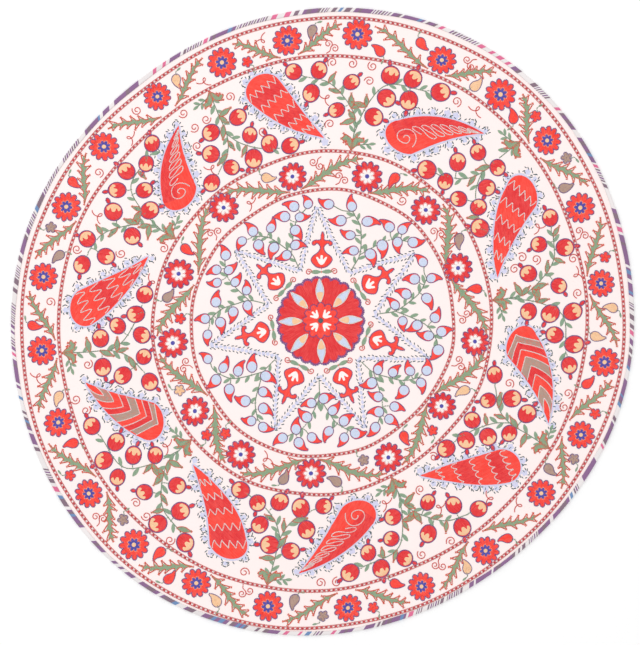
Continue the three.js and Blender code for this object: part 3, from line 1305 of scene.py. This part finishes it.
def binding_material(pitch):
    """Striped strip: the colours of its blocks, softened where the dye has spread."""
    material, tree, shader = new_material("binding_ikat", roughness=0.8, sheen=0.08)
    weave = add(tree, "ShaderNodeGroup", node_tree=shared_group("Plain Weave", build_plain_weave))
    weave.inputs["Pitch"].default_value = pitch
    blocks = add(tree, "ShaderNodeAttribute", attribute_name="ikat")
    worn = add(tree, "ShaderNodeHueSaturation", {"Color": blocks.outputs["Color"]})
    value = add(tree, "ShaderNodeMapRange",
                {"Value": weave.outputs["Unevenness"], "To Min": 0.85, "To Max": 1.15})
    tree.links.new(value.outputs[0], worn.inputs["Value"])
    tree.links.new(worn.outputs[0], shader.inputs["Base Color"])
    bump(tree, shader, weave.outputs["Height"], distance=0.12 * MM, strength=0.5)
    return material


# Pieces


def new_piece(name, corners, faces=(), edges=()):
    """A mesh object at the origin, on show in the scene."""
    mesh = bpy.data.meshes.new(name)
    mesh.from_pydata(np.asarray(corners).tolist(), edges, faces)
    piece = bpy.data.objects.new(name, mesh)
    bpy.context.scene.collection.objects.link(piece)
    return piece


def store(mesh, name, sort, domain, values, field):
    attribute = mesh.attributes.new(name, sort, domain)
    attribute.data.foreach_set(field, np.asarray(values, np.float32).ravel())


def map_from_above(piece):
    """A flat map of the piece as it lies, through which its finish can be baked."""
    mesh = piece.data
    places = np.empty(len(mesh.vertices) * 3, np.float32)
    mesh.vertices.foreach_get("co", places)
    corners = np.empty(len(mesh.loops), np.int32)
    mesh.loops.foreach_get("vertex_index", corners)
    flat = 0.5 + places.reshape(-1, 3)[corners, :2] * 0.48 / EDGE_REACHES.max()
    mesh.uv_layers.new(name="OFBake").data.foreach_set("uv", flat.astype(np.float32).ravel())


def keep(piece):
    """Gives a finished piece its map and its place on the frame."""
    map_from_above(piece)
    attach(piece, "root")


def ring_faces(rows, steps, closed=False):
    """Faces between rows of points that run round the cloth."""
    faces = []
    for row in range(rows if closed else rows - 1):
        low, high = row * steps, (row + 1) % rows * steps
        for step in range(steps):
            after = (step + 1) % steps
            faces.append((low + step, low + after, high + after, high + step))
    return faces


class SUZANI_OT_ground(bpy.types.Operator):
    """Lay the woven ground, rippled a little and climbing into its binding"""

    bl_idname = "suzani.ground"
    bl_label = "Lay Ground Cloth"

    SECTORS = 240
    RIM_STEPS = 8
    ROWS = 28

    def execute(self, context):
        scene = context.scene
        angle = np.linspace(0, FULL_TURN, self.SECTORS, endpoint=False)
        reach = edge_reach(angle)
        insets = [RIM_INSET, *np.linspace(BINDING_WIDTH, BINDING_WIDTH + RISE_WIDTH, self.RIM_STEPS)]
        shares = np.linspace(1, 0.02, self.ROWS)[1:]
        rows = [reach - inset for inset in insets] + [(reach - insets[-1]) * share for share in shares]
        loops = np.array(rows) * np.exp(1j * angle)
        flat = np.append(loops.ravel(), 0)
        low = underside(flat.real, flat.imag)
        under = np.column_stack([flat.real, flat.imag, low])
        over = under + (0, 0, SHEET_THICKNESS)
        count, last = len(flat), len(loops) - 1
        fan = [(last * self.SECTORS + step, last * self.SECTORS + (step + 1) % self.SECTORS, count - 1)
               for step in range(self.SECTORS)]
        upper = ring_faces(len(loops), self.SECTORS) + fan
        lower = [tuple(count + corner for corner in reversed(face)) for face in upper]
        rim = [((step + 1) % self.SECTORS, step, count + step, count + (step + 1) % self.SECTORS)
               for step in range(self.SECTORS)]
        cloth = new_piece("ground_weave", np.concatenate([over, under]), upper + lower + rim)
        cloth.data.shade_smooth()
        material = ground_material(tuple(scene.suzani_cloth.ground), scene.suzani_stitches.weave_pitch)
        cloth.data.materials.append(material)
        keep(cloth)
        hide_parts("ground_cloth")
        return {"FINISHED"}


class SUZANI_OT_binding(bpy.types.Operator):
    """Fold the striped strip over the edge"""

    bl_idname = "suzani.binding"
    bl_label = "Fold Edge Binding"

    SLANT = 0.8  # of the blocks' ends, as a share of the strip's own width
    LONGEST_STEP = 8  # along the edge
    FOLD_STEPS = 7

    def blocks(self, around):
        """Lengths and colours of the strip's blocks, in the runs that such a strip is woven in."""
        draw = random.Random(5)
        made, run = [], 0
        while run < around:
            sort = draw.choices(("long", "short", "stripes", "bare"), (4, 6, 2, 4))[0]
            if sort == "long":
                for _ in range(draw.randint(3, 8)):
                    made.append((draw.uniform(3, 8), draw.choices(("plum", "slate", "teal"), (7, 3, 1))[0]))
                made.append((draw.uniform(3, 8), "pale"))
            elif sort == "short":
                size = draw.uniform(4, 10)
                made.append((size, draw.choices(("pink", "plum", "slate", "teal"), (6, 3, 3, 2))[0]))
                made.append((draw.uniform(3, 8), "pale"))
            elif sort == "stripes":
                for stripe in range(draw.randint(3, 6)):
                    made.append((draw.uniform(1.6, 3.4), ("slate", "plum")[stripe % 2]))
                    made.append((draw.uniform(1.6, 2.6), "pale"))
            else:
                made.append((draw.uniform(6, 15), "pale"))
            run = sum(size for size, _ in made)
        return [(size * around / run, colour) for size, colour in made]

    def execute(self, context):
        around = float(np.mean(EDGE_REACHES)) * FULL_TURN / MM
        starts, colours, run = [], [], 0
        for size, colour in self.blocks(around):
            steps = math.ceil(size / self.LONGEST_STEP)
            starts += [run + size * step / steps for step in range(steps)]
            colours += [colour] * steps
            run += size
        angle = np.array(starts) / around * FULL_TURN
        leg = BOUND_HEIGHT - BINDING_THICKNESS
        fold = np.linspace(-math.pi / 2, math.pi / 2, self.FOLD_STEPS)
        section = [(BINDING_WIDTH, 0.0)]
        for turn in fold:
            section.append((FOLD_DEPTH * (1 - math.cos(turn)), BOUND_HEIGHT / 2 * (1 + math.sin(turn))))
        section += [(BINDING_WIDTH * 0.8, BOUND_HEIGHT), (BINDING_WIDTH, BOUND_HEIGHT - 0.25 * MM),
                    (BINDING_WIDTH, leg), (BINDING_THICKNESS, leg), (BINDING_THICKNESS, BINDING_THICKNESS),
                    (BINDING_WIDTH, BINDING_THICKNESS)]
        rows = []
        for inset, height in section:
            uneven = 1 + 0.12 * np.sin(9 * angle) + 0.08 * np.sin(23 * angle + 1)
            turned = angle + self.SLANT * inset / MEAN_REACH * (1 if height > BOUND_HEIGHT / 2 else -1)
            depth = inset * np.where(inset > FOLD_DEPTH * 2, uneven, 1)
            flat = (edge_reach(turned) - depth) * np.exp(1j * turned)
            rows.append(np.column_stack([flat.real, flat.imag, np.full(len(flat), height)]))
        faces = ring_faces(len(rows), len(angle), closed=True)
        strip = new_piece("edge_binding_strip", np.concatenate(rows), faces)
        strip.data.shade_smooth()
        palette = context.scene.suzani_cloth
        painted = np.array([(*getattr(palette, colour), 1) for colour in colours])
        per_face = np.tile(painted, (len(rows), 1))
        store(strip.data, "ikat", "FLOAT_COLOR", "CORNER", np.repeat(per_face, 4, axis=0), "color")
        strip.data.materials.append(binding_material(context.scene.suzani_stitches.weave_pitch))
        keep(strip)
        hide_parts("edge_binding")
        return {"FINISHED"}


def pad_points(outline, step=13):
    """Corners and triangles of a filled outline, with points inside it where it is large."""
    low, high = outline.real.min() + 1j * outline.imag.min(), outline.real.max() + 1j * outline.imag.max()
    across = np.arange(low.real + step / 2, high.real, step)
    up = np.arange(low.imag + step / 2, high.imag, step)
    grid = (across[:, None] + 1j * up[None, :]).ravel()
    kept = [point for point in grid if np.abs(outline - point).min() > step / 3]
    given = [(point.real, point.imag) for point in (*outline, *kept)]
    rim = [list(range(len(outline)))]
    corners, _, faces, *_ = geometry.delaunay_2d_cdt(given, [], rim, 1, 1e-5)
    return np.array([complex(*corner) for corner in corners]), faces


def closed_pad(outline, lift):
    """A thin closed slab over a filled outline: flat places, lifts and faces."""
    flat, top = pad_points(outline)
    count = len(flat)
    sides = {}
    for face in top:
        for start, end in zip(face, (*face[1:], face[0])):
            if sides.pop((end, start), None) is None:
                sides[start, end] = True
    walls = [(end, start, count + start, count + end) for start, end in sides]
    bottom = [tuple(count + corner for corner in reversed(face)) for face in top]
    lifts = np.concatenate([np.full(count, lift), np.full(count, -PAD_SINK)])
    return np.concatenate([flat, flat]), lifts, [*top, *bottom, *walls]


def laid_piece(name, pads, stitches):
    """Pads and their stitches, before the stitches are worked: each is a point with a vector along it."""
    flats, lifts, faces, count = [], [], [], 0
    for outline, lift in pads:
        flat, heights, pad_faces = closed_pad(outline, lift)
        faces += [tuple(count + corner for corner in face) for face in pad_faces]
        flats.append(flat)
        lifts.append(heights)
        count += len(flat)
    starts, ends, stitch_lifts = (np.array(column) for column in zip(*stitches))
    first, last = lay(starts, stitch_lifts), lay(ends, stitch_lifts)
    corners = [(first + last) / 2]
    along = [last - first]
    if flats:
        corners.insert(0, lay(np.concatenate(flats), np.concatenate(lifts)))
        along.insert(0, np.zeros((count, 3)))
    piece = new_piece(name, np.concatenate(corners), faces)
    store(piece.data, "along", "FLOAT_VECTOR", "POINT", np.concatenate(along), "vector")
    store(piece.data, "shade", "FLOAT", "POINT", np.full(len(piece.data.vertices), 0.4), "value")
    return piece


def drawn_piece(name, lines):
    """Lines before their chain stitches are worked."""
    corners, edges, widths, count = [], [], [], 0
    for points, width, closed, lift in lines:
        corners.append(lay(points, lift))
        steps = len(points)
        edges += [(count + step, count + step + 1) for step in range(steps - 1)]
        if closed:
            edges.append((count + steps - 1, count))
        widths += [width * MM] * steps
        count += steps
    piece = new_piece(name, np.concatenate(corners), edges=edges)
    store(piece.data, "width", "FLOAT", "POINT", widths, "value")
    return piece


# Threads that turn tightly have shorter links, and the even chain borders longer ones.
LINK_SHARES = {"coral": 0.6, "white": 0.7, "rose": 1.3}
SHADE_SEED = 7


def finish_thread(context, piece, thread, tree, inputs):
    """Works the stitches of a piece and keeps it."""
    material = bpy.data.materials.get(f"{thread}_thread")
    if material is None:
        material = thread_material(thread, tuple(getattr(context.scene.suzani_threads, thread)))
    work_nodes(piece, tree, {**inputs, "Seed": SHADE_SEED, "Material": material})
    keep(piece)


class SUZANI_OT_laid_work(bpy.types.Operator):
    """Fill the motifs and set the seed stitches, one piece for each thread"""

    bl_idname = "suzani.laid_work"
    bl_label = "Fill Motifs"

    def execute(self, context):
        sizes = context.scene.suzani_stitches
        tree = shared_group("Laid Work", build_laid_work)
        inputs = {"Laid Width": sizes.laid_width, "Laid Height": sizes.laid_height}
        for thread, stitches in DESIGN.laid.items():
            piece = laid_piece(f"{thread}_laid_work", DESIGN.pads.get(thread, []), stitches)
            finish_thread(context, piece, thread, tree, inputs)
        return {"FINISHED"}


class SUZANI_OT_chain_lines(bpy.types.Operator):
    """Work the drawn lines in chain stitch, one piece for each thread"""

    bl_idname = "suzani.chain_lines"
    bl_label = "Work Chain Lines"

    def execute(self, context):
        sizes = context.scene.suzani_stitches
        tree = shared_group("Chain Line", build_chain_line)
        for thread, lines in DESIGN.drawn.items():
            piece = drawn_piece(f"{thread}_chain_lines", lines)
            length = sizes.link_length * LINK_SHARES.get(thread, 1)
            inputs = {"Link Length": length, "Link Height": sizes.link_height}
            finish_thread(context, piece, thread, tree, inputs)
        return {"FINISHED"}


class SUZANI_OT_stage(bpy.types.Operator):
    """Set the pale floor, the soft light and the camera straight above"""

    bl_idname = "suzani.stage"
    bl_label = "Set Stage"

    IMAGE_WIDTH, IMAGE_HEIGHT = 640, 645
    MIDDLE_PIXEL = (322.5, 321.5)  # of the cloth in the picture
    PIXEL = 1.6034 * MM
    LENS, SENSOR = 100, 36
    FLOOR = 30  # half width
    FLOOR_HEIGHT = -0.2 * MM
    FLOOR_TONE = 0.97
    SKY_STRENGTH = 0.93
    LAMP_ENERGY, LAMP_SIZE = 22, 2.4
    LAMP_PLACE = (-1.3, 1.5, 2.3)

    def execute(self, context):
        scene = context.scene
        sides = ((-1, -1), (1, -1), (1, 1), (-1, 1))
        corners = [(x * self.FLOOR, y * self.FLOOR, self.FLOOR_HEIGHT) for x, y in sides]
        floor = new_piece("stage_floor", corners, [(0, 1, 2, 3)])
        paint, _, shader = new_material("stage_floor_paint", roughness=0.9, sheen=0.0)
        shader.inputs["Base Color"].default_value = (*[self.FLOOR_TONE] * 3, 1)
        floor.data.materials.append(paint)
        world = bpy.data.worlds.new("soft_light")
        world.use_nodes = True
        sky = world.node_tree.nodes["Background"]
        sky.inputs["Color"].default_value = (1, 1, 1, 1)
        sky.inputs["Strength"].default_value = self.SKY_STRENGTH
        scene.world = world
        lamp = bpy.data.lights.new("window_light", "AREA")
        lamp.energy, lamp.size = self.LAMP_ENERGY, self.LAMP_SIZE
        lit = bpy.data.objects.new("window_light", lamp)
        lit.location = self.LAMP_PLACE
        lit.rotation_euler = (-lit.location).to_track_quat("-Z", "Y").to_euler()
        scene.collection.objects.link(lit)
        camera = bpy.data.cameras.new("view_from_above")
        camera.lens, camera.sensor_width = self.LENS, self.SENSOR
        seen = bpy.data.objects.new("view_from_above", camera)
        long_side = max(self.IMAGE_WIDTH, self.IMAGE_HEIGHT) * self.PIXEL
        across = (self.IMAGE_WIDTH / 2 - self.MIDDLE_PIXEL[0]) * self.PIXEL
        up = (self.MIDDLE_PIXEL[1] - self.IMAGE_HEIGHT / 2) * self.PIXEL
        seen.location = (across, up, long_side * self.LENS / self.SENSOR)
        scene.collection.objects.link(seen)
        scene.camera = seen
        scene.view_settings.view_transform = "Standard"
        return {"FINISHED"}


class SUZANI_PT_panel(bpy.types.Panel):
    """The cloth's steps and settings"""

    bl_idname = "SUZANI_PT_panel"
    bl_label = "Suzani Cloth"
    bl_space_type = "VIEW_3D"
    bl_region_type = "UI"
    bl_category = "Suzani"

    def draw(self, context):
        for operator in OPERATORS:
            self.layout.operator(operator.bl_idname)
        for group in SETTINGS:
            settings = getattr(context.scene, group)
            for name in settings.__annotations__:
                self.layout.prop(settings, name)


OPERATORS = (SUZANI_OT_ground, SUZANI_OT_binding, SUZANI_OT_laid_work, SUZANI_OT_chain_lines, SUZANI_OT_stage)
SETTINGS = {"suzani_stitches": SuzaniStitches, "suzani_threads": SuzaniThreads, "suzani_cloth": SuzaniCloth}
DESIGN = draw_all()


def register():
    for kind in (*SETTINGS.values(), *OPERATORS, SUZANI_PT_panel):
        bpy.utils.register_class(kind)
    for name, kind in SETTINGS.items():
        setattr(bpy.types.Scene, name, bpy.props.PointerProperty(type=kind))


def unregister():
    for name in SETTINGS:
        delattr(bpy.types.Scene, name)
    for kind in (SUZANI_PT_panel, *reversed(OPERATORS), *reversed(SETTINGS.values())):
        bpy.utils.unregister_class(kind)


def main():
    register()
    for operator in OPERATORS:
        getattr(bpy.ops.suzani, operator.bl_idname.split(".")[1])()
    bpy.context.view_layer.update()


if __name__ == "__main__":
    main()
